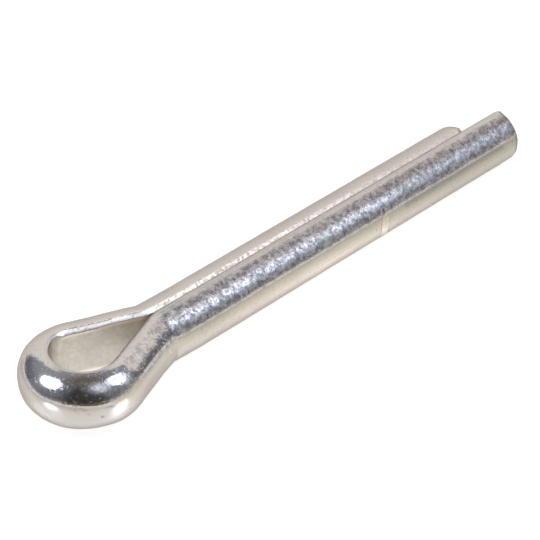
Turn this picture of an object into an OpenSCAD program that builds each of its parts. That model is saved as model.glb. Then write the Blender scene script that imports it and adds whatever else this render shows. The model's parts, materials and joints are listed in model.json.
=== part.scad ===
// Split cotter pin, bent from one length of half-round steel wire.
//
// The wire is folded flat to flat. Its two prongs lie side by side and make a round shank along +X, and
// the fold is opened into a drop-shaped eye towards -X. The origin is on the shank's axis, in the plane
// where the shoulders of the eye meet the rim of the hole, so the nominal length is read along +X.
// The pin lies on its side with the eye's opening facing up, and its long prong is the one at -Y.

/* [Hole and shank] */
// Diameter of the hole that the pin goes through, which names its size
hole_d = 5; // [4.2:0.1:5.6]
// Clearance between the shank and the hole, all round
hole_clearance = 0.25; // [0.1:0.05:0.4]
// Nominal length, from the rim of the hole to the end of the short prong
short_length = 32; // [10:1:80]
// How far the long prong runs on past the short one
long_extra = 4; // [1:0.5:8]
// Slit between the flats of the two prongs
slit = 0.1; // [0.04:0.02:0.3]

/* [Wire] */
// Rounding of the two edges where the wire's flat meets its round side
edge_r = 0.4; // [0.15:0.05:0.6]
// Edge break round the sheared end of each prong
end_break = 0.15; // [0.05:0.05:0.35]

/* [Eye] */
// Outside width of the eye
eye_width = 9.1; // [7.5:0.1:11]
// Distance of the eye's centre from the rim of the hole
eye_reach = 5.65; // [4.9:0.05:9]
// How far the eye sits off the shank's axis, towards the short prong
eye_shift = 0.2; // [-0.4:0.05:0.4]
// Inside radius of the bend in the throat, where the shank opens into the eye
throat_bend = 0.55; // [0.4:0.05:2.4]

/* [Hidden] */
$fn = 96;

shank_r = hole_d / 2 - hole_clearance;
long_length = short_length + long_extra;
// Each flat lies this far from the shank's axis, and the wire is this thick from its flat to its crest
flat_y = slit / 2;
wire_t = shank_r - flat_y;
eye_outer_r = eye_width / 2;
eye_inner_r = eye_outer_r - wire_t;
eye_x = -eye_reach;
// Bend radius of the flats in the throat
throat_r = throat_bend + wire_t;
// Height of a rounded edge's centre, and the depth at which its arc runs into the round side
edge_z = sqrt(pow(shank_r - edge_r, 2) - pow(flat_y + edge_r, 2));
edge_depth = shank_r * (flat_y + edge_r) / (shank_r - edge_r) - flat_y;
// How far a cutting shape reaches past what it cuts
over = 1;
// Pieces that meet face to face are joined at this many times less than their size
join_scale = 100;

// Angle between the shank's axis and the shoulder of one arm. The shoulder's crest goes through the rim
// of the hole and is tangent to the eye, whose centre is moved towards that arm by shift.
function shoulder_angle(shift) =
    let (along = eye_reach, across = hole_d / 2 - shift)
    atan2(along, across) - acos(eye_outer_r / norm([along, across]));

// X of the section where an arm's throat bend ends and its prong runs on straight
function throat_x(angle) =
    (cos(angle) * (hole_d / 2 - flat_y - throat_r) + throat_bend) / sin(angle);

// Length of the straight shoulder between the throat bend and the arc of the eye
function shoulder_length(angle, shift) =
    cos(angle) * (throat_x(angle) + eye_reach) - sin(angle) * (flat_y + throat_r - shift);

// Joins children that meet face to face. At a small scale, the rounding of their last digits is too
// small to leave a gap or a step between them, and then they are brought back to size.
module joined() {
    scale(join_scale) union() for (i = [0 : $children - 1]) scale(1 / join_scale) children(i);
}

// One rounded edge of the wire's section, at the top (1) or the bottom (-1) of its flat
module rounded_edge(side) {
    intersection() {
        translate([edge_r, side * edge_z]) circle(edge_r);
        translate([-over, -shank_r - over]) square([over + edge_depth, 2 * (shank_r + over)]);
    }
}

// Section of the wire: its flat lies on X = 0 and its round side faces +X
module half_round() {
    joined() {
        intersection() {
            translate([-flat_y, 0]) circle(shank_r);
            translate([edge_depth, -shank_r - over]) square([shank_r + over, 2 * (shank_r + over)]);
        }
        translate([0, -edge_z]) square([edge_depth, 2 * edge_z]);
        rounded_edge(1);
        rounded_edge(-1);
    }
}

// Straight wire from the origin along +X, with its flat on Y = 0 and its round side facing +Y
module straight_wire(length) {
    rotate([90, 0, 90]) linear_extrude(length) half_round();
}

// Wire bent about the Z axis, through angle from the +X axis, with its flat at radius r and its round
// side facing outwards (1) or inwards (-1)
module bent_wire(r, angle, facing) {
    rotate_extrude(angle = angle) translate([r, 0]) scale([facing, 1]) half_round();
}

// What the edge break takes off a prong that ends at X = length
module end_waste(length) {
    // cone round the outside
    rotate([90, 0, 90]) rotate_extrude()
        polygon([
            [shank_r - end_break - over, length + over],
            [shank_r + over, length - end_break - over],
            [shank_r + over, length + over]
        ]);
    // bevel along the flat
    translate([0, 0, -shank_r - over]) linear_extrude(2 * (shank_r + over))
        polygon([
            [length - end_break - over, flat_y - over],
            [length + over, flat_y - over],
            [length + over, flat_y + end_break + over]
        ]);
}

// Straight prong from X = start to X = length, on the +Y side of the shank's axis
module prong(start, length) {
    difference() {
        translate([start, flat_y, 0]) straight_wire(length - start);
        end_waste(length);
    }
}

// One side of the pin, on the +Y side of the shank's axis: prong, throat bend, shoulder, and the arc of
// the eye as far as its widest point
module arm(length, shift) {
    angle = shoulder_angle(shift);
    bend_x = throat_x(angle);

    joined() {
        prong(bend_x, length);
        translate([bend_x, flat_y + throat_r, 0]) rotate(-90 - angle) bent_wire(throat_r, angle, -1);
        translate([eye_x, shift, 0]) rotate(-angle) translate([0, eye_inner_r, 0])
            straight_wire(shoulder_length(angle, shift));
        translate([eye_x, shift, 0]) rotate(90 - angle) bent_wire(eye_inner_r, angle, 1);
    }
}

module cotter_pin() {
    color("silver") joined() {
        arm(short_length, eye_shift);
        mirror([0, 1, 0]) arm(long_length, -eye_shift);
        // back half of the eye
        translate([eye_x, eye_shift, 0]) rotate(90) bent_wire(eye_inner_r, 180, 1);
    }
}

cotter_pin();
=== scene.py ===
"""Zinc-plated split cotter pin, lying on a glossy white table in plain soft studio light.

The CAD pin is replaced by one finely swept wire on the same lines, which carries the small things that the
CAD leaves out: an uneven drawn surface, press marks and a nick of the bending tool, pits, scratches and
sheared ends. Everything is in the part's own frame, in metres unless a comment says millimetres: origin in
the plane of the hole's rim, shank along +X, long prong at -Y. The table is at the wire's lowest point.
"""

import json
import math

import bpy
import numpy as np
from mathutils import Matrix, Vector, noise


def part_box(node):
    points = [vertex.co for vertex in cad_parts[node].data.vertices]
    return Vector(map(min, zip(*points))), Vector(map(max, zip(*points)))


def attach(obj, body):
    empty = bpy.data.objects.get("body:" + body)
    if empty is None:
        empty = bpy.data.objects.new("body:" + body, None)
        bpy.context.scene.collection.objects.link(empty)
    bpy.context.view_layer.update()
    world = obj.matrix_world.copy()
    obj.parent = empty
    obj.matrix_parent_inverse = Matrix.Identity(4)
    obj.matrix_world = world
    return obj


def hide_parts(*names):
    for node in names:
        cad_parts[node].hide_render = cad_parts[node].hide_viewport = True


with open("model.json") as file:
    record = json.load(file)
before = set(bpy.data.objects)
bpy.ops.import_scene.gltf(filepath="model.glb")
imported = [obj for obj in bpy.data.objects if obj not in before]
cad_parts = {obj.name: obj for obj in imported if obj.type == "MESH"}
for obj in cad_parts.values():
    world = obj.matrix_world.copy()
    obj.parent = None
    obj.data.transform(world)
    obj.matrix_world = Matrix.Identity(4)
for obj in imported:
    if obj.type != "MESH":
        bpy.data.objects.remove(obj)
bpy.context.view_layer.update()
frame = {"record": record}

MM = 0.001

# --- Sizes, from the frame ------------------------------------------------------------------------------

mounts = {m["name"]: m for m in frame["record"]["mounts"]}
pin_low, pin_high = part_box("cotter_pin")

shank_r = mounts["shank"]["dims"]["r_mm"] * MM
hole_r = mounts["seat"]["dims"]["r_mm"] * MM
eye_inner_r = mounts["eye"]["dims"]["r_mm"] * MM
eye_x, eye_shift = mounts["eye"]["pos_m"][:2]
eye_outer_r = (pin_high.y - pin_low.y) / 2
# Thickness of the wire from its flat to its crest, and distance of each flat from the shank's axis
wire_t = eye_outer_r - eye_inner_r
flat_y = shank_r - wire_t
# The mount shank is halfway along the short prong
short_end = 2 * mounts["shank"]["pos_m"][0]
long_end = pin_high.x

# --- Sizes of the wire's own ----------------------------------------------------------------------------

# Bend radius of the wire's flat in the throat
THROAT_R = 2.75 * MM

# Drawn bevel on each edge of the wire: its tilt from the flat, the height on the flat where it starts, how
# far its middle swells, and the radii of the small arcs at its outer end and at its foot
BEVEL_TURN = math.radians(57)
BEVEL_FOOT = 2.01 * MM
BEVEL_SWELL = 0.010 * MM
HEAD_R = 0.13 * MM
FOOT_R = 0.07 * MM
# Height of the bevel's foot where the mandrel pressed the wire's edge sharp, inside the eye
PRESSED_FOOT = 2.15 * MM
# The round side is full on either side of its crest and lean near its edges, by this much
OUT_OF_ROUND = 0.030 * MM
# The flats all but touch, and stand this far into the slit
FLAT_PROUD = 0.035 * MM
# How far the rim of each sheared end is rolled in, and over what length
END_ROLL = 0.13 * MM
END_LENGTH = 0.5 * MM

# Spacing of the swept rings along the wire: on plain lengths, round the eye, and at the finest marks of the
# long prong, whose stretches are given in millimetres, as the X of a prong that runs on straight
RING_STEP = 0.13 * MM
EYE_STEP = 0.095 * MM
FINE_STEP = 0.05 * MM
FINE_STRETCHES = [(-0.6, 0.7), (1.0, 2.0), (6.4, 6.9), (17.0, 17.4), (20.55, 21.45)]
# Distances of the last rings from each sheared end, the gap from these to the next ring, and the scales of
# the smaller rings that close the end
END_RINGS = np.array([0, 0.012, 0.035, 0.07, 0.12, 0.19, 0.28, 0.38, 0.48]) * MM
END_GAP = 0.1 * MM
END_SCALES = (0.97, 0.82, 0.6, 0.35, 0.12)
# Points round each ring: on the flat, across each bevel, on each small arc, and on the round side
FLAT_POINTS = 12
BEVEL_POINTS = 4
CORNER_POINTS = 4
ROUND_POINTS = 60


# --- The wire's route -----------------------------------------------------------------------------------

def shoulder_angle(shift):
    """Angle between the shank's axis and the shoulder of the arm that the eye's centre is moved towards."""
    along, across = -eye_x, hole_r - shift
    return math.atan2(along, across) - math.acos(eye_outer_r / math.hypot(along, across))


def throat_x(angle):
    """X where an arm's throat bend ends and its prong runs on straight."""
    return (math.cos(angle) * (hole_r - flat_y - THROAT_R) + THROAT_R - wire_t) / math.sin(angle)


def shoulder_length(angle, shift):
    """Straight length between the throat bend and the arc of the eye."""
    return math.cos(angle) * (throat_x(angle) - eye_x) - math.sin(angle) * (flat_y + THROAT_R - shift)


long_angle = shoulder_angle(-eye_shift)
short_angle = shoulder_angle(eye_shift)
eye_turn = math.pi + long_angle + short_angle

# The wire's flat, from the long prong's tip round the eye to the short prong's tip, as (length, left turn)
ROUTE = [
    (long_end - throat_x(long_angle), 0.0),
    (THROAT_R * long_angle, long_angle),
    (shoulder_length(long_angle, -eye_shift), 0.0),
    (eye_inner_r * eye_turn, -eye_turn),
    (shoulder_length(short_angle, eye_shift), 0.0),
    (THROAT_R * short_angle, short_angle),
    (short_end - throat_x(short_angle), 0.0),
]
wire_length = sum(length for length, turn in ROUTE)
eye_middle = sum(length for length, turn in ROUTE[:3]) + ROUTE[3][0] / 2
# Rounding that is let pass where two stretches of the route meet
ROUTE_SLACK = 1e-12


def unit(angle):
    """Unit vectors at these angles."""
    return np.stack([np.cos(angle), np.sin(angle)], -1)


def stretch(heading, length, turn, run):
    """One stretch of the route, at the distances run along it: steps from its start, and headings."""
    angle = heading + turn * run / length
    if turn == 0:
        return run[:, None] * unit(heading), angle
    r = length / turn
    return r * np.stack([np.sin(angle) - math.sin(heading), math.cos(heading) - np.cos(angle)], 1), angle


def route(s):
    """Points and unit directions of the flat's centre line at the distances s from the long prong's tip."""
    points, directions = np.zeros((len(s), 2)), np.zeros((len(s), 2))
    start, at, heading = 0.0, np.array([long_end, -flat_y]), math.pi
    for length, turn in ROUTE:
        here = (s >= start - ROUTE_SLACK) & (s <= start + length + ROUTE_SLACK)
        steps, angle = stretch(heading, length, turn, s[here] - start)
        points[here] = at + steps
        directions[here] = unit(angle)
        to_end, _ = stretch(heading, length, turn, np.array([length]))
        at = at + to_end[0]
        heading += turn
        start += length
    return points, directions


# --- The wire's section ---------------------------------------------------------------------------------

def upper_edge(foot_height):
    """Corner of the section from the round side to the flat: a drawn bevel with a small arc at each end.
    Returns its points, their outward normals, and the angle on the round side where it starts."""
    facing_way = math.pi - BEVEL_TURN
    normal = unit(facing_way)
    along = np.array([normal[1], -normal[0]])
    reach = foot_height * math.sin(BEVEL_TURN)
    # centres of the two small arcs: one inside the bevel and the flat, the other inside the bevel and the
    # round side, whose own centre is flat_y behind the flat
    foot = np.array([FOOT_R - FLAT_PROUD, (reach - FOOT_R - normal[0] * (FOOT_R - FLAT_PROUD)) / normal[1]])
    inside = normal * (reach - HEAD_R)
    from_centre = inside + [flat_y, 0]
    before = from_centre @ along
    slide = math.sqrt(before ** 2 - from_centre @ from_centre + (shank_r - HEAD_R) ** 2) - before
    head = inside + along * slide
    head_turn = math.atan2(head[1], head[0] + flat_y)

    first = np.linspace(head_turn, facing_way, CORNER_POINTS)
    last = np.linspace(facing_way, math.pi, CORNER_POINTS)
    between = np.linspace(0, 1, BEVEL_POINTS + 2)[1:-1, None]
    start, end = head + HEAD_R * normal, foot + FOOT_R * normal
    swell = BEVEL_SWELL * normal * 4 * between * (1 - between)
    points = np.concatenate([head + HEAD_R * unit(first), start + (end - start) * between + swell,
                             foot + FOOT_R * unit(last)])
    normals = np.concatenate([unit(first), np.tile(normal, (BEVEL_POINTS, 1)), unit(last)])
    return points, normals, head_turn


def half_round(foot_height):
    """Section of the wire: points (depth from the flat, height) anticlockwise, their outward normals, and
    how much each is on a drawn edge."""
    corner, corner_normals, edge_turn = upper_edge(foot_height)
    flip = np.array([1, -1])
    flat = np.linspace(corner[-1, 1], -corner[-1, 1], FLAT_POINTS + 2)[1:-1]
    side = np.linspace(-edge_turn, edge_turn, ROUND_POINTS + 2)[1:-1]
    drawn_r = shank_r + OUT_OF_ROUND * np.sin(4 * np.abs(side))[:, None]
    points = np.concatenate([np.stack([0 * flat - FLAT_PROUD, flat], 1), corner[::-1] * flip,
                             [-flat_y, 0] + drawn_r * unit(side), corner])
    normals = np.concatenate([np.tile([-1.0, 0.0], (len(flat), 1)), corner_normals[::-1] * flip,
                              unit(side), corner_normals])
    on_edge = np.concatenate([0 * flat, np.ones(len(corner)), 0 * side, np.ones(len(corner))])
    return points, normals, on_edge


# --- The swept wire -------------------------------------------------------------------------------------

# How the bent wire strays from its route. The distance along the wire from the middle of the eye, in
# millimetres and positive towards the short prong's tip, then how far it is shifted to its round side, in
# millimetres, how far its top leans over to its flat, in degrees, how much fuller its round side is, in
# millimetres, and how far its edges are pressed sharp, from 0 to 1
STRAY = [
    (-50.0, -0.03, 0.0, 0.15, 0.0),
    (-13.0, -0.03, 0.0, 0.15, 0.0),
    (-10.0, 0.00, 0.0, 0.00, 0.0),
    (-8.0, -0.03, 0.0, -0.09, 0.0),
    (-5.0, -0.02, 0.0, -0.07, 0.2),
    (-3.5, 0.01, 0.0, -0.06, 1.0),
    (-1.0, 0.00, 0.0, -0.10, 1.0),
    (0.5, -0.03, 0.0, -0.02, 1.0),
    (1.5, 0.00, -1.5, 0.00, 1.0),
    (2.6, 0.08, 0.0, 0.00, 1.0),
    (3.2, 0.06, 1.0, 0.00, 1.0),
    (3.5, 0.02, 7.0, 0.00, 0.0),
    (4.6, -0.05, 8.0, 0.00, 0.0),
    (6.0, 0.00, 8.0, 0.00, 0.1),
    (7.0, 0.06, 6.5, 0.04, 0.4),
    (8.5, 0.13, 5.0, 0.06, 0.1),
    (10.5, 0.12, 4.0, 0.08, 0.0),
    (13.0, 0.03, 3.5, 0.11, 0.0),
    (50.0, 0.03, 3.5, 0.11, 0.0),
]


def stray(place):
    """The last four columns of STRAY at each distance from the middle of the eye."""
    table = np.array(STRAY)
    return [np.interp(place / MM, table[:, 0], column) for column in table[:, 1:].T]


def ring_places():
    """Distances of the rings from the long prong's tip."""
    eye_start, eye_end = ROUTE[0][0], wire_length - ROUTE[-1][0]
    s, places = END_RINGS[-1] + END_GAP, []
    while s < wire_length - END_RINGS[-1] - END_GAP:
        places.append(s)
        x = (long_end - s) / MM
        if any(start < x < end for start, end in FINE_STRETCHES):
            s += FINE_STEP
        else:
            s += EYE_STEP if eye_start < s < eye_end else RING_STEP
    return np.concatenate([END_RINGS, places, wire_length - END_RINGS[::-1]])


def sweep_wire():
    """The swept wire: its rings' distances from the long prong's tip, how many points each ring has, and for
    the points of all rings in a row, their places, their outward normals, and how much each is on a drawn
    edge, on the flat and on the outer end of a bevel."""
    s = ring_places()
    line, ahead = route(s)
    side = np.stack([-ahead[:, 1], ahead[:, 0]], 1)
    drawn, drawn_normals, on_edge = half_round(BEVEL_FOOT)
    sharp, sharp_normals = half_round(PRESSED_FOOT)[:2]

    off, lean, fuller, pressed = stray(s - eye_middle)
    section = drawn + (sharp - drawn) * pressed[:, None, None]
    normals = drawn_normals + (sharp_normals - drawn_normals) * pressed[:, None, None]
    normals /= np.linalg.norm(normals, axis=2, keepdims=True)
    # fullest on the crest of the round side, and not at all on the edges
    full = (1 - on_edge) * np.maximum(normals[:, :, 0], 0) ** 2
    section += normals * (fuller * MM)[:, None, None] * full[:, :, None]
    cos, sin = np.cos(np.radians(lean))[:, None], np.sin(np.radians(lean))[:, None]

    def leant(across, up):
        """The sections' vectors, given by their parts across the route and up, after they lean over."""
        return across * cos - up * sin, across * sin + up * cos

    def laid(across, up):
        """The sections' vectors in space, given by the same two parts."""
        return np.concatenate([across[:, :, None] * side[:, None, :], up[:, :, None]], 2)

    across, up = leant(section[:, :, 0] + flat_y, section[:, :, 1])
    at = laid(across - flat_y + (off * MM)[:, None], up)
    at[:, :, :2] += line[:, None, :]
    out = laid(*leant(normals[:, :, 0], normals[:, :, 1]))

    on_flat = (drawn[:, 0] < 0) & (on_edge == 0)
    # a bevel's outer end is what nearly reaches the shank's radius
    on_head = (np.hypot(drawn[:, 0] + flat_y, drawn[:, 1]) > 0.99 * shank_r) & (on_edge > 0)
    where = [np.tile(each, len(s)) for each in (on_edge, on_flat, on_head)]
    return s, len(drawn), at.reshape(-1, 3), out.reshape(-1, 3), *where


# --- The plate and its marks ----------------------------------------------------------------------------

PLATE_COLOUR = (0.63, 0.58, 0.535)
# The torn steel of the sheared ends: its colour, and its roughness, specks and mottling
STEEL_COLOUR = (0.44, 0.38, 0.33)
STEEL_WEAR = (0.42, 0.4, 0)

# Roughness of the plate, and what is added to it on the shank's upper side, on the flats and on the drawn
# edges, less on the rear ones
PLATE_ROUGH = 0.12
SHANK_ROUGH = 0.08
FLAT_ROUGH = 0.34
EDGE_ROUGH = 0.22
REAR_EDGE_LESS = 0.12
# Level of the matte specks, and what is added to it on the shank's near side and on all flanks
SPECKS = 0.36
SHANK_SPECKS = 0.11
FLANK_SPECKS = -0.10
# Amount of light and dark mottling on the upper part of the near side, which paints the speckle of the dark
# band reflected there, what is added to it on the shank, and the amount on the flats
MOTTLED = 0.55
SHANK_MOTTLED = 0.40
FLAT_MOTTLED = 0.2

# The eye's looks turn into the shank's from this far before the rim of the hole to this far after it, in
# millimetres
SHANK_FADE = 1.5

# Tints, each the shares that it adds to the plate's red, green and blue
# painted highlight: how much lighter and warmer the drawn edges are made, and the change to it on the shank
EDGE_HIGHLIGHT_TINT = np.array([0.56, 0.50, 0.41])
SHANK_EDGE_HIGHLIGHT_TINT = np.array([0, -0.02, -0.05])
FLAT_TINT = np.array([0.10, 0.12, 0.07])
# painted reflection: a darker brown and a blue stripe along the dark band on the shank's near side
REFLECTED_BROWN_TINT = np.array([-0.16, -0.22, -0.24])
REFLECTED_BLUE_TINT = np.array([-0.06, -0.01, 0.06])
NEAR_SIDE_TINT = np.array([0, -0.015, -0.04])
BURR_TINT = np.array([-0.42, -0.46, -0.50])
# painted shade on the flanks, and more of it near the tips
FLANK_SHADE_TINT = np.array([-0.12, -0.14, -0.25])
TIP_FLANK_SHADE_TINT = np.array([-0.20, -0.18, -0.18])
GROOVE_TINT = np.array([0.30, 0.28, 0.20])
# painted highlight on the nick's lip
LIP_HIGHLIGHT_TINT = np.array([0.40, 0.40, 0.36])
# painted shade on the rolled rims of the sheared ends
ROLLED_SHADE_TINT = np.array([-0.36, -0.38, -0.38])
BARE_TINT = np.array([-0.12, -0.26, -0.38])
# How much the plate's tone varies at random, how much darker the painted brown reflection is towards the
# tips, how dark the shade painted in the nick's corner is, how much less the painted highlight lightens the
# prong's edges at their outer ends, and how sharply the burrs stand out
SHADES = 0.03
REFLECTED_BROWN_TIP = 0.10
CORNER_SHADE = 0.6
PRONG_HIGHLIGHT_LESS = 0.7
BURR_CONTRAST = 2.5

# The drawn surface's unevenness, as (height in metres, size of its lumps in millimetres, seed)
UNEVEN = [(0.006 * MM, 1.6, 1), (0.0022 * MM, 0.55, 2)]

# Marks, each a soft stroke between two points on the surface. In millimetres: start, end, half width, and
# depth, which is negative where it stands up; then the roughness it adds and what it multiplies the plate's
# colour by
MARKS = [
    # press marks of the bending tool on the long prong
    ((1.45, -1.95, 0.95), (1.45, -1.15, 1.90), 0.50, 0.020, 0.22, (1.04, 1.10, 0.98)),
    ((15.2, -1.90, 1.15), (16.2, -1.00, 2.00), 0.80, 0.012, 0.16, (1.05, 1.10, 1.02)),
    # raised drop of plate, painted lighter as the small bright spot of light it catches
    ((6.63, -1.81, 1.34), (6.63, -1.81, 1.34), 0.26, -0.040, 0.25, (1.50, 1.50, 1.50)),
    # pits
    ((17.2, -2.04, -0.95), (17.2, -2.04, -0.95), 0.15, 0.030, 0.1, (0.45, 0.40, 0.35)),
    ((-7.68, -3.87, -0.10), (-7.68, -3.87, -0.10), 0.17, 0.030, 0.1, (0.35, 0.30, 0.25)),
    ((-5.21, 2.51, -1.05), (-5.21, 2.51, -1.05), 0.14, 0.020, 0.1, (0.45, 0.42, 0.35)),
    # scratches and ticks
    ((-0.31, -1.91, 1.59), (-0.37, -2.62, 0.30), 0.09, 0.012, 0.1, (1.30, 1.30, 1.30)),
    ((-9.04, -2.70, 0.62), (-8.95, -2.80, 0.40), 0.09, 0.010, 0.1, (0.70, 0.65, 0.60)),
    ((-8.51, -3.27, 0.47), (-8.42, -3.36, 0.25), 0.09, 0.010, 0.1, (0.70, 0.65, 0.60)),
    ((-6.61, -4.23, -0.26), (-5.91, -4.27, 0.55), 0.15, 0.010, 0.1, (1.40, 1.35, 1.20)),
    # crease along the front of the eye, with a painted reflection: a lighter raised line along the bright
    # horizon it reflects, and a darker sunk line under it
    ((-8.58, -3.07, 0.82), (-7.79, -3.65, 0.79), 0.10, -0.012, 0.1, (1.35, 1.32, 1.25)),
    ((-7.79, -3.65, 0.79), (-6.91, -4.04, 0.75), 0.10, -0.012, 0.1, (1.35, 1.32, 1.25)),
    ((-8.58, -3.07, 0.62), (-6.91, -4.08, 0.55), 0.12, 0.008, 0.0, (0.62, 0.60, 0.56)),
    # painted shade: a darker, slightly blue streak low along the long prong
    ((23.5, -2.20, 0.62), (34.0, -2.20, 0.62), 0.50, 0.0, 0.0, (0.76, 0.76, 0.82)),
    # lean stretch under the front of the eye
    ((-7.8, -2.45, -1.80), (-7.2, -3.1, -1.75), 1.60, 0.050, 0.0, (1.0, 1.0, 1.0)),
    # smudges
    ((0.47, -2.22, 0.63), (0.47, -2.22, 0.63), 0.28, 0.0, 0.2, (1.15, 1.15, 1.10)),
    ((-6.4, -4.15, 0.75), (-4.4, -3.85, 0.95), 0.75, 0.006, 0.18, (1.12, 1.08, 0.94)),
]

# Leaf-shaped tool nick across the long prong's flank. In millimetres: its X, how far it bows towards the tip,
# its half width at its ends, and how much more that is between them
NICK_X = 21.0
NICK_BOW = 0.12
NICK_HALF_WIDTH = 0.03
NICK_WIDENING = 0.25
# Its top, middle and foot, in degrees above the level through the shank's axis, and how far from its middle
# it has bowed by NICK_BOW
NICK_TOP = 36
NICK_MIDDLE = -5
NICK_FOOT = -48
NICK_BOW_TURN = 40
# Places across it of its steep wall, its raised lip with a painted highlight and its corner with painted
# shade, in half widths towards the tip
NICK_WALL = (-1.15, -0.75)
NICK_LIP = 1.15
NICK_CORNER = -1.1
NICK_DEPTH = 0.09 * MM
NICK_LIP_HEIGHT = 0.025 * MM
# What it adds to the roughness and to the level of the specks
NICK_ROUGH = 0.15
NICK_SPECKS = -0.12

# How unevenly the ends are rolled in, and the roughness added where they are bare
ROLL_UNEVEN = 0.1
BARE_ROUGH = 0.15

# How far apart in the noise two seeds are
SEED_STEP = Vector((7.3, 1.9, 4.1))


def rough(points, pitch, seed):
    """Smooth noise from about -1 to 1 at each point, with lumps about pitch across."""
    scale, offset = 1 / pitch, SEED_STEP * seed
    return np.array([noise.noise(Vector(p) * scale + offset) for p in points]) * 2


def step_up(x, edge0, edge1):
    """Smooth step from 0 at edge0 to 1 at edge1."""
    t = np.clip((x - edge0) / (edge1 - edge0), 0, 1)
    return t * t * (3 - 2 * t)


def stripe(x, middle, width=0.08):
    """Soft stripe, 1 at its middle and fading out over its width."""
    return np.exp(-(((x - middle) / width) ** 2))


def plate_looks(place, at, out, edge, flat, head):
    """The plate before it is marked: its roughness, its specks, its mottling and its colour at each point,
    with light and shade painted into the colour.
    """
    up = out[:, 2]
    on_top = step_up(up, 0.93, 0.97)
    flank = step_up(up, 0.46, 0.36)
    on_shank = np.clip((at[:, 0] / MM + SHANK_FADE) / (2 * SHANK_FADE), 0, 1)
    on_rear = step_up(place - eye_middle, 3.2 * MM, 3.6 * MM)
    on_rear_arm = on_rear * step_up(place - eye_middle, 9 * MM, 7.5 * MM)
    near_side = step_up(-out[:, 1], 0, 0.2)
    near_tip = step_up(at[:, 0], 14 * MM, 27 * MM)[:, None]

    rough_at = PLATE_ROUGH + SHANK_ROUGH * on_shank * (1 - flank)
    rough_at += (EDGE_ROUGH - REAR_EDGE_LESS * on_rear) * edge
    rough_at += FLAT_ROUGH * flat
    specks_at = SPECKS + SHANK_SPECKS * on_shank * (1 - on_top) * near_side + FLANK_SPECKS * flank
    # mottling, painted as the speckle of the reflected dark band on the upper near side, and some on the
    # flats
    mottled = (MOTTLED + SHANK_MOTTLED * on_shank) * step_up(up, 0.3, 0.5) * (1 - on_top)
    mottled = mottled * (1 - edge) * near_side + FLAT_MOTTLED * flat

    colour = np.tile(PLATE_COLOUR, (len(at), 1))
    colour *= 1 + SHADES * rough(at / MM, pitch=2.2, seed=3)[:, None]
    # painted highlight: the drawn edges on the rear arm and the short prong made lighter and warmer, as the
    # white band of the lamp they reflect, less so at the outer end of the prong's bevels
    edge_highlight = edge * on_rear * (1 - PRONG_HIGHLIGHT_LESS * head * on_shank)
    colour *= 1 + edge_highlight[:, None] * (EDGE_HIGHLIGHT_TINT + on_shank[:, None] * SHANK_EDGE_HIGHLIGHT_TINT)
    # painted reflection: a darker brown stripe along the upper part of the dark band reflected on the shank's
    # near side, and a blue stripe along its lower part; all of the near side is a little yellower
    beside = on_shank * near_side
    brown, blue = beside * stripe(up, 0.84), beside * stripe(up, 0.65)
    colour *= 1 + brown[:, None] * (REFLECTED_BROWN_TINT - REFLECTED_BROWN_TIP * near_tip)
    colour *= 1 + blue[:, None] * REFLECTED_BLUE_TINT + beside[:, None] * NEAR_SIDE_TINT
    # greenish flats
    colour *= 1 + flat[:, None] * FLAT_TINT
    # dark burrs along the outer ends of the rear arm's bevels
    burr = np.clip(BURR_CONTRAST * rough(at / MM * [1, 1, 0.3], pitch=0.16, seed=7), 0, 1)
    colour *= 1 + (head * on_rear_arm * burr)[:, None] * BURR_TINT
    # painted shade: the flanks darker and yellower, as the dimmer table they reflect, stronger on the shank
    # and darker near the tips
    flank_shade = step_up(up, 0.42, 0.26) * step_up(up, -0.32, 0.18) * (1 - flat) * (1 - edge)
    flank_shade *= 0.55 + 0.45 * on_shank
    colour *= 1 + flank_shade[:, None] * (FLANK_SHADE_TINT + near_tip * TIP_FLANK_SHADE_TINT)
    return rough_at, specks_at, mottled, colour


def stroke(at, start, end, half_width):
    """1 along a stroke's middle, falling smoothly to 0 at its sides. It may be a single point."""
    start, along = np.array(start), np.array(end) - start
    t = np.clip((at / MM - start) @ along / max(along @ along, 1e-9), 0, 1)
    apart = np.linalg.norm(at / MM - start - t[:, None] * along, axis=1) / half_width
    return np.clip(1 - apart ** 2, 0, 1) ** 2


def add_marks(at, depth, rough_at, colour):
    """Adds MARKS to the points' depth, roughness and colour."""
    for start, end, half_width, deep, matte, tint in MARKS:
        here = stroke(at, start, end, half_width)
        depth += deep * MM * here
        rough_at += matte * here
        colour *= 1 + here[:, None] * (np.array(tint) - 1)


def ridge(x, middle, sharpness):
    """1 at the middle, falling to 0 at 1 / sharpness on each side of it."""
    return np.clip(1 - (sharpness * (x - middle)) ** 2, 0, 1)


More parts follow.
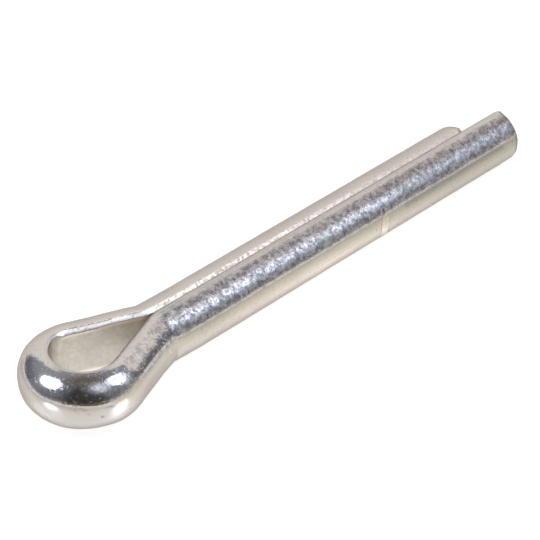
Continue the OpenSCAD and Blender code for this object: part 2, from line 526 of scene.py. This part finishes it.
def add_nick(at, depth, rough_at, specks_at, colour):
    """Adds the tool nick to the points' depth, roughness, specks and colour, with a painted highlight on its
    lip and painted shade in its corner.
    """
    turn = np.degrees(np.arctan2(at[:, 2], -at[:, 1]))
    middle = NICK_X + NICK_BOW * ((turn - NICK_MIDDLE) / NICK_BOW_TURN) ** 2
    t = np.clip((NICK_TOP - turn) / (NICK_TOP - NICK_FOOT), 0, 1)
    half_width = NICK_HALF_WIDTH + NICK_WIDENING * np.sin(math.pi * t) ** 0.8
    across = (at[:, 0] / MM - middle) / half_width
    here = (t > 0) & (t < 1) & (at[:, 1] < 0)
    # steep on the eye's side, and rising slowly to the surface towards the tip
    groove = here * step_up(across, *NICK_WALL) * np.clip((1 - across) / (1 - NICK_WALL[1]), 0, 1)
    lip = here * ridge(across, NICK_LIP, 4)
    corner = here * ridge(across, NICK_CORNER, 3.5)
    depth += NICK_DEPTH * groove - NICK_LIP_HEIGHT * lip
    rough_at += NICK_ROUGH * np.sqrt(groove)
    specks_at += NICK_SPECKS * np.sqrt(groove)
    # lighter groove, a painted highlight on the raised lip, and painted shade in the corner
    colour *= 1 + np.sqrt(groove)[:, None] * GROOVE_TINT + lip[:, None] * LIP_HIGHLIGHT_TINT
    colour *= 1 - CORNER_SHADE * corner[:, None]


def roll_ends(at, from_end, depth, rough_at, colour):
    """Rolls the sheared ends in at their rims, darkens the rolled rims with painted shade, and wears the
    plate off there.
    """
    roll = np.clip(1 - from_end / END_LENGTH, 0, 1)
    depth += END_ROLL * (1 - np.sqrt(1 - roll ** 2)) * (1 + ROLL_UNEVEN * rough(at / MM, pitch=0.7, seed=4))
    bare = step_up(roll, 0.7, 0.97)
    # painted shade on the rolled rims, and browner bare steel where the plate is worn off
    colour *= 1 + step_up(roll, 0.1, 0.6)[:, None] * ROLLED_SHADE_TINT + bare[:, None] * BARE_TINT
    rough_at += BARE_ROUGH * bare


# --- The pin --------------------------------------------------------------------------------------------

# How uneven the sheared faces are, how far they are sunk at their rims, and how much more inside, in
# millimetres
TORN = 0.03
SUNK = 0.01
SUNK_MORE = 0.02


def between_rings(first, second):
    """Faces between two rings, given as lists of their points' numbers."""
    return list(zip(first, first[1:] + first[:1], second[1:] + second[:1], second))


def close_end(points, faces, outer, backwards):
    """Closes one end of the wire with smaller and smaller rings, torn a little unevenly. The faces of the end
    where the wire starts run backwards."""
    rim = np.array([points[i] for i in outer])
    middle = rim.mean(0)
    for scale in END_SCALES:
        ring = middle + (rim - middle) * scale
        torn = TORN * rough(ring / MM, pitch=0.45, seed=5)
        torn += TORN * rough(ring / MM * [1, 3, 0.6], pitch=0.5, seed=6)
        ring[:, 0] -= MM * (SUNK + SUNK_MORE * (scale < END_SCALES[0]) + np.abs(torn))
        inner = list(range(len(points), len(points) + len(outer)))
        points += [tuple(p) for p in ring]
        faces += [face[::-1] if backwards else face for face in between_rings(outer, inner)]
        outer = inner
    faces.append(tuple(outer[::-1] if backwards else outer))


def paint(mesh, name, values):
    """Stores one colour for each point of a mesh."""
    attribute = mesh.color_attributes.new(name, "FLOAT_COLOR", "POINT")
    attribute.data.foreach_set("color", np.ravel(values))


def build_pin():
    """The pin as one closed mesh, which also holds what its material reads: wear and plate."""
    s, count, at, out, edge, flat, head = sweep_wire()
    place = np.repeat(s, count)
    rough_at, specks_at, mottled, colour = plate_looks(place, at, out, edge, flat, head)
    depth = -sum(height * rough(at / MM, pitch, seed) for height, pitch, seed in UNEVEN)
    add_marks(at, depth, rough_at, colour)
    add_nick(at, depth, rough_at, specks_at, colour)
    roll_ends(at, np.minimum(place, wire_length - place), depth, rough_at, colour)
    at = at - out * depth[:, None]

    points, faces = [tuple(p) for p in at], []
    rings = [list(range(first, first + count)) for first in range(0, len(at), count)]
    for this, following in zip(rings, rings[1:]):
        faces += between_rings(this, following)
    close_end(points, faces, rings[0], backwards=True)
    close_end(points, faces, rings[-1], backwards=False)
    added = len(points) - len(at)

    mesh = bpy.data.meshes.new("pin_wire")
    mesh.from_pydata(points, [], faces)
    mesh.validate()
    mesh.polygons.foreach_set("use_smooth", [True] * len(mesh.polygons))
    wear = np.stack([rough_at, specks_at, mottled, np.ones(len(at))], 1)
    paint(mesh, "wear", np.concatenate([wear, np.tile([*STEEL_WEAR, 1], (added, 1))]))
    plate = np.concatenate([colour, np.ones((len(at), 1))], 1)
    paint(mesh, "plate", np.concatenate([plate, np.tile([*STEEL_COLOUR, 1], (added, 1))]))
    pin = bpy.data.objects.new("pin_wire", mesh)
    bpy.context.scene.collection.objects.link(pin)
    return pin


# --- Materials ------------------------------------------------------------------------------------------

# Height of the zinc's fine grain
GRAIN_HEIGHT = 0.012 * MM
# What its mottling multiplies the plate's colour by, as (level of the noise, colour)
MOTTLING = [(0.40, (0.56, 0.555, 0.56)), (0.5, (0.87, 0.85, 0.875)), (0.62, (1.12, 1.11, 1.12))]
# A colour Mix node's sockets: its two colours and its result
MIX_A, MIX_B, MIX_RESULT = 6, 7, 2

# Colours of the lamps and of the warmer light that comes back from the pin, the table's colour, and how much
# of its white is its own
LAMP_COLOUR = (0.74, 0.86, 1.06)
WARM_COLOUR = (1.0, 0.96, 0.90)
FLOOR_COLOUR = (0.52, 0.515, 0.50)
FLOOR_GLOW = 0.82


def new_material(name):
    """A material with only its output node, and its nodes and links."""
    material = bpy.data.materials.new(name)
    material.use_nodes = True
    nodes, links = material.node_tree.nodes, material.node_tree.links
    nodes.clear()
    output = nodes.new("ShaderNodeOutputMaterial")
    return material, nodes, links, output


def math_node(nodes, links, operation, first, second):
    """Result of a Math node on the output first and on second, an output or a number."""
    node = nodes.new("ShaderNodeMath")
    node.operation = operation
    links.new(first, node.inputs[0])
    if isinstance(second, bpy.types.NodeSocket):
        links.new(second, node.inputs[1])
    else:
        node.inputs[1].default_value = second
    return node.outputs["Value"]


def noise_node(nodes, links, coordinates, scale, detail):
    """Level of a noise, whose scale is in lumps to the metre."""
    node = nodes.new("ShaderNodeTexNoise")
    node.inputs["Scale"].default_value = scale
    node.inputs["Detail"].default_value = detail
    links.new(coordinates.outputs["Object"], node.inputs["Vector"])
    return node.outputs["Fac"]


def mesh_colour(nodes, name):
    """The colour that the mesh holds under this name."""
    node = nodes.new("ShaderNodeVertexColor")
    node.layer_name = name
    return node.outputs["Color"]


def zinc():
    """Zinc plate: a bright smooth reflection, broken by fine matte specks and by light and dark mottling,
    which also paints speckle into the reflected dark band. The mesh's plate colours hold the metal's colour
    with light and shade painted into it. Its wear colours hold the even roughness (red), the level of the
    specks (green), and how mottled and grainy the plate is (blue)."""
    material, nodes, links, output = new_material("zinc_plate")
    shader = nodes.new("ShaderNodeBsdfPrincipled")
    links.new(shader.outputs["BSDF"], output.inputs["Surface"])
    shader.inputs["Metallic"].default_value = 1.0
    shader.inputs["Specular Tint"].default_value = (0.50, 0.46, 0.42, 1)
    shader.inputs["Coat Weight"].default_value = 0.35
    shader.inputs["Coat Roughness"].default_value = 0.42
    shader.inputs["Coat IOR"].default_value = 1.7

    coordinates = nodes.new("ShaderNodeTexCoord")
    parts = nodes.new("ShaderNodeSeparateColor")
    links.new(mesh_colour(nodes, "wear"), parts.inputs["Color"])

    # matte specks, where the noise and their level together are high enough
    specks = noise_node(nodes, links, coordinates, scale=5000, detail=1.5)
    matte = nodes.new("ShaderNodeMapRange")
    matte.inputs["From Min"].default_value = 0.92
    matte.inputs["From Max"].default_value = 1.12
    matte.inputs["To Max"].default_value = 0.34
    links.new(math_node(nodes, links, "ADD", specks, parts.outputs["Green"]), matte.inputs["Value"])
    roughness = math_node(nodes, links, "ADD", matte.outputs["Result"], parts.outputs["Red"])
    links.new(roughness, shader.inputs["Roughness"])

    # light and dark mottling, which also paints speckle into the reflected dark band
    ramp = nodes.new("ShaderNodeValToRGB")
    stops = ramp.color_ramp.elements
    stops.new(0.5)
    for stop, (level, colour) in zip(stops, MOTTLING):
        stop.position = level
        stop.color = (*colour, 1)
    links.new(noise_node(nodes, links, coordinates, scale=2900, detail=3), ramp.inputs["Fac"])
    tinted = nodes.new("ShaderNodeMix")
    tinted.data_type = "RGBA"
    tinted.blend_type = "MULTIPLY"
    links.new(parts.outputs["Blue"], tinted.inputs["Factor"])
    links.new(mesh_colour(nodes, "plate"), tinted.inputs[MIX_A])
    links.new(ramp.outputs["Color"], tinted.inputs[MIX_B])
    links.new(tinted.outputs[MIX_RESULT], shader.inputs["Base Color"])

    # fine grain, stronger where the plate is mottled
    bump = nodes.new("ShaderNodeBump")
    bump.inputs["Distance"].default_value = GRAIN_HEIGHT
    links.new(noise_node(nodes, links, coordinates, scale=5500, detail=1.5), bump.inputs["Height"])
    uneven = nodes.new("ShaderNodeMapRange")
    uneven.inputs["To Min"].default_value = 0.4
    links.new(parts.outputs["Blue"], uneven.inputs["Value"])
    links.new(uneven.outputs["Result"], bump.inputs["Strength"])
    links.new(bump.outputs["Normal"], shader.inputs["Normal"])
    return material


def glowing(name, colour, strength):
    """A surface that gives off light."""
    material, nodes, links, output = new_material(name)
    shader = nodes.new("ShaderNodeEmission")
    shader.inputs["Color"].default_value = (*colour, 1)
    shader.inputs["Strength"].default_value = strength
    links.new(shader.outputs["Emission"], output.inputs["Surface"])
    return material


def glowing_cloth():
    """A surface that gives off the glow that its mesh holds."""
    material, nodes, links, output = new_material("dark_cloth")
    glow = mesh_colour(nodes, "glow")
    shader = nodes.new("ShaderNodeEmission")
    links.new(glow, shader.inputs["Color"])
    links.new(shader.outputs["Emission"], output.inputs["Surface"])
    return material


def glowing_spot(name, colour, strength):
    """A clear surface with a glow that fades out at 1 from its object's origin, in the object's own units."""
    material, nodes, links, output = new_material(name)
    place = nodes.new("ShaderNodeTexCoord")
    fade = nodes.new("ShaderNodeTexGradient")
    fade.gradient_type = "QUADRATIC_SPHERE"
    glow = nodes.new("ShaderNodeEmission")
    glow.inputs["Color"].default_value = (*colour, 1)
    clear = nodes.new("ShaderNodeBsdfTransparent")
    both = nodes.new("ShaderNodeAddShader")
    links.new(place.outputs["Object"], fade.inputs["Vector"])
    amount = math_node(nodes, links, "MULTIPLY", fade.outputs["Fac"], strength)
    links.new(amount, glow.inputs["Strength"])
    links.new(glow.outputs["Emission"], both.inputs[0])
    links.new(clear.outputs["BSDF"], both.inputs[1])
    links.new(both.outputs["Shader"], output.inputs["Surface"])
    return material


def white_acrylic():
    """White acrylic. Part of its white is its own for the camera and for reflections, so that the table
    stays white under a plain level of light and still takes the pin's shadow."""
    material, nodes, links, output = new_material("white_acrylic")
    shader = nodes.new("ShaderNodeBsdfPrincipled")
    shader.inputs["Base Color"].default_value = (*FLOOR_COLOUR, 1)
    shader.inputs["Roughness"].default_value = 1.0
    shader.inputs["Specular IOR Level"].default_value = 0.0
    shader.inputs["Coat Weight"].default_value = 1.0
    shader.inputs["Coat Roughness"].default_value = 0.06
    shader.inputs["Coat IOR"].default_value = 1.5
    shader.inputs["Emission Color"].default_value = (1, 1, 1, 1)
    rays = nodes.new("ShaderNodeLightPath").outputs
    seen = math_node(nodes, links, "MAXIMUM", rays["Is Camera Ray"], rays["Is Glossy Ray"])
    seen = math_node(nodes, links, "MAXIMUM", seen, rays["Is Transmission Ray"])
    glow = math_node(nodes, links, "MULTIPLY", seen, FLOOR_GLOW)
    links.new(glow, shader.inputs["Emission Strength"])
    links.new(shader.outputs["BSDF"], output.inputs["Surface"])
    return material


# --- The studio -----------------------------------------------------------------------------------------

# Direction from the object to the camera, measured from +X, and its height over the table, in degrees
CAMERA_TURN = -134.62
CAMERA_RISE = 37.25
CAMERA_DISTANCE = 161.8 * MM
CAMERA_TARGET = Vector((11.27, -0.30, 0.0)) * MM
CAMERA_LENS = 151.7

# Directions in the studio are seen from the object, in degrees: turn, which is 0 at the camera and positive
# to its right, and rise over the table

# Lamps: name, directions of the two ends of their long axis, width across it in degrees, strength
SOFTBOXES = [
    ("softbox_left", (-85, 33), (-76, 61), 28, 5),
    ("softbox_right", (87, 36), (94, 70), 25, 2.8),
]
SOFTBOX_DISTANCE = 0.7
# Points round each lamp
SOFTBOX_POINTS = 48

# The dark cloth's front panel: how far it reaches to the camera's left, and to its right low down and high
# up, and the gap that it leaves over the table
CLOTH_LEFT_TURN = 136
CLOTH_RIGHT_TURN = 115
CLOTH_HIGH_RIGHT_TURN = 141
CLOTH_GAP = 4
# Its back panel: the turns where it starts on both sides, how high its foot is there, and how much higher
# straight behind
CLOTH_BACK_TURN = 134
CLOTH_BACK_FOOT = 56
CLOTH_BACK_ARCH = 9
CLOTH_DISTANCE = 0.8
CLOTH_COLUMNS = 60
CLOTH_ROWS = 40
# Light that it gives off: everywhere, and the colours of more of it at its sides, overhead and low in front
CLOTH_GLOW = 0.06
SIDE_GLOW = (0.88, 1.0, 1.25)
TOP_GLOW = (0.13, 0.105, 0.08)
LOW_GLOW = (0.22, 0.19, 0.13)
# Soft spill of the lamps on it: turn, rise, width in degrees, strength
SPILLS = [(90, 34, 9, 0.7), (40, 60, 12, 1.4), (-80, 46, 14, 0.35)]

# Light that the pin throws back on the table: name, X and Y of its middle, length and width in millimetres,
# turn of its length from +X in degrees, strength, colour
PATCHES = [
    ("bright_patch_left", -18.0, 0.0, 15, 5.5, 165, 3.5, LAMP_COLOUR),
    ("bright_patch_right", -4.7, -9.0, 12, 5, -67, 4, LAMP_COLOUR),
    ("bright_patch_shank", 17, -3.4, 46, 7, 0, 0.4, WARM_COLOUR),
    ("bright_patch_eye", -6.8, 0.3, 5.5, 4.5, 0, 1.2, WARM_COLOUR),
]
PATCH_HEIGHT = 0.02 * MM

TABLE_HALF = 3.0
SQUARE = [(-1, -1), (1, -1), (1, 1), (-1, 1)]


def towards(turn, rise):
    """Unit vector from the object in one direction."""
    a, e = math.radians(CAMERA_TURN + turn), math.radians(rise)
    return Vector((math.cos(a) * math.cos(e), math.sin(a) * math.cos(e), math.sin(e)))


def add_camera():
    """Camera that looks at CAMERA_TARGET."""
    data = bpy.data.cameras.new("camera")
    camera = bpy.data.objects.new("camera", data)
    bpy.context.scene.collection.objects.link(camera)
    back = towards(0, CAMERA_RISE)
    camera.location = CAMERA_TARGET + back * CAMERA_DISTANCE
    camera.rotation_euler = (-back).to_track_quat("-Z", "Y").to_euler()
    data.lens = CAMERA_LENS
    data.clip_start = 0.01
    bpy.context.scene.camera = camera


def stage_mesh(name, vertices, faces, material):
    """A mesh that is part of the studio and not of the object."""
    mesh = bpy.data.meshes.new(name)
    mesh.from_pydata([tuple(v) for v in vertices], [], faces)
    mesh.materials.append(material)
    thing = bpy.data.objects.new(name, mesh)
    bpy.context.scene.collection.objects.link(thing)
    return thing


def softbox(name, start, end, across, strength):
    """Oval softbox that faces the object. Its long axis runs between two directions."""
    a, b = towards(*start), towards(*end)
    middle, along = (a + b).normalized(), (b - a).normalized()
    side = middle.cross(along)
    long = SOFTBOX_DISTANCE * math.tan(a.angle(b) / 2)
    wide = SOFTBOX_DISTANCE * math.tan(math.radians(across / 2))
    turns = [math.radians(360 * i / SOFTBOX_POINTS) for i in range(SOFTBOX_POINTS)]
    rim = [middle * SOFTBOX_DISTANCE + along * (long * math.cos(t)) + side * (wide * math.sin(t))
           for t in turns]
    panel = stage_mesh(name, rim, [tuple(range(len(rim)))], glowing(name, LAMP_COLOUR, strength))
    panel.visible_camera = False


def cloth_glow(turn, rise):
    """How much light the dark cloth gives off, seen from the object in one direction."""
    off = abs(turn)
    top = step_up(rise, 58, 84)
    low = step_up(rise, 16, 3) * step_up(off, 70, 40)
    # brighter in two steps towards both sides, but dimmer again low down past the lamps
    side = (0.19 * step_up(off, 22, 52) + 0.13 * step_up(off, 60, 115)) * (1 - top)
    side *= 1 - 0.6 * step_up(off, 88, 106) * step_up(rise, 42, 15)
    spill = sum(strength * math.exp(-(math.degrees(towards(turn, rise).angle(towards(*middle))) / width) ** 2)
                for *middle, width, strength in SPILLS)
    return tuple(CLOTH_GLOW + side * a + top * b + low * c + spill * d
                 for a, b, c, d in zip(SIDE_GLOW, TOP_GLOW, LOW_GLOW, LAMP_COLOUR))


def front_panel(column, row):
    """Direction of one corner of the cloth's front panel."""
    rise = CLOTH_GAP + (90 - CLOTH_GAP) * row / CLOTH_ROWS
    right = CLOTH_RIGHT_TURN + (CLOTH_HIGH_RIGHT_TURN - CLOTH_RIGHT_TURN) * step_up(rise, 37, 52)
    return -CLOTH_LEFT_TURN + (right + CLOTH_LEFT_TURN) * column / CLOTH_COLUMNS, rise


def back_panel(column, row):
    """Direction of one corner of the cloth's back panel."""
    turn = CLOTH_BACK_TURN + (360 - 2 * CLOTH_BACK_TURN) * column / CLOTH_COLUMNS
    foot = CLOTH_BACK_FOOT + CLOTH_BACK_ARCH * step_up(min(turn, 360 - turn), CLOTH_BACK_TURN, 180)
    return turn, foot + (90 - foot) * row / CLOTH_ROWS


def dark_cloth():
    """Dark cloth on the camera's side of the table and overhead, open to the white room at the back."""
    corners, faces = [], []
    for panel in (front_panel, back_panel):
        first = len(corners)
        corners += [panel(column, row)
                    for column in range(CLOTH_COLUMNS + 1) for row in range(CLOTH_ROWS + 1)]
        for column in range(CLOTH_COLUMNS):
            for row in range(CLOTH_ROWS):
                here = first + column * (CLOTH_ROWS + 1) + row
                beside = here + CLOTH_ROWS + 1
                faces.append((here, here + 1, beside + 1, beside))
    cloth = stage_mesh("dark_cloth", [towards(*c) * CLOTH_DISTANCE for c in corners], faces, glowing_cloth())
    glows = [cloth_glow(turn if turn < 180 else turn - 360, rise) for turn, rise in corners]
    paint(cloth.data, "glow", [(*glow, 1) for glow in glows])
    cloth.visible_camera = False


def bright_patch(name, x, y, length, width, turn, strength, colour, floor_z):
    """Light that the pin throws back on the table, which only the pin reflects."""
    patch = stage_mesh(name, [(*corner, 0) for corner in SQUARE], [(0, 1, 2, 3)],
                       glowing_spot(name, colour, strength))
    patch.location = (x * MM, y * MM, floor_z + PATCH_HEIGHT)
    patch.rotation_euler = (0, 0, math.radians(turn))
    patch.scale = (length / 2 * MM, width / 2 * MM, 1)
    patch.visible_camera = False
    patch.visible_diffuse = False
    patch.visible_shadow = False


def add_studio(floor_z):
    """Table at one height, with its bright patches, lamps, dark cloth and white room."""
    corners = [(x * TABLE_HALF, y * TABLE_HALF, floor_z) for x, y in SQUARE]
    stage_mesh("table", corners, [(0, 1, 2, 3)], white_acrylic())
    for lamp in SOFTBOXES:
        softbox(*lamp)
    dark_cloth()
    for patch in PATCHES:
        bright_patch(*patch, floor_z)
    world = bpy.data.worlds.new("white_room")
    bpy.context.scene.world = world
    world.use_nodes = True
    world.node_tree.nodes["Background"].inputs["Color"].default_value = (1, 1, 1, 1)
    world.node_tree.nodes["Background"].inputs["Strength"].default_value = 1.0


pin = build_pin()
pin.data.materials.append(zinc())
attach(pin, "root")
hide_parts("cotter_pin")

add_camera()
# the pin rests on the table
add_studio(floor_z=min(v.co.z for v in pin.data.vertices))
bpy.context.scene.view_settings.view_transform = "Standard"
